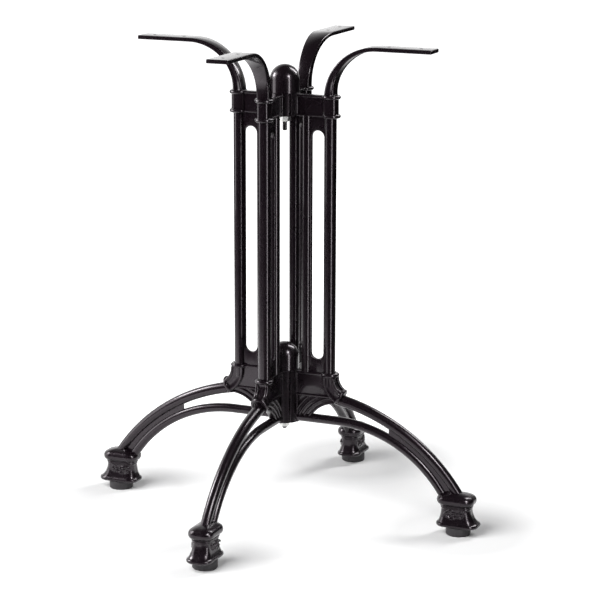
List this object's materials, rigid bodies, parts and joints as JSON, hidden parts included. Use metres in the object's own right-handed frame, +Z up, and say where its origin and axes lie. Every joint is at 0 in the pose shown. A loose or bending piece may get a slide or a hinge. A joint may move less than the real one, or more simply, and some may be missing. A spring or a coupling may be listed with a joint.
{
  "type": "four star table base",
  "caption": "Cast metal table base of quarter castings with curved double-rib legs, slotted columns, flat arms for the top, domed caps and round glides.",
  "frame": {"origin": "on the floor, under the middle of the base, where the axis of the two hubs meets it", "axes": "+Z up along the axis of the hubs; +X along the right leg; the front leg points along -Y"},
  "size_m": [0.6298, 0.6298, 0.72],
  "materials": {
    "enamel": "gloss black enamel",
    "cap_enamel": "gloss black enamel",
    "rod_steel": "dark oiled steel",
    "zinc_steel": "bright zinc",
    "glide_plastic": "dull black"
  },
  "bodies": {
    "root": {"leg_right": "enamel", "leg_back": "enamel", "leg_left": "enamel", "leg_front": "enamel", "upper_cap": "cap_enamel", "lower_cap": "cap_enamel", "upper_tie_rod": "rod_steel", "lower_tie_rod": "rod_steel", "upper_nut": "zinc_steel", "lower_nut": "zinc_steel", "upper_washer": "zinc_steel", "lower_washer": "zinc_steel", "right_glide": "glide_plastic", "back_glide": "glide_plastic", "left_glide": "glide_plastic", "front_glide": "glide_plastic", "right_glide_stud": "zinc_steel", "back_glide_stud": "zinc_steel", "left_glide_stud": "zinc_steel", "front_glide_stud": "zinc_steel"}
  },
  "joints": []
}
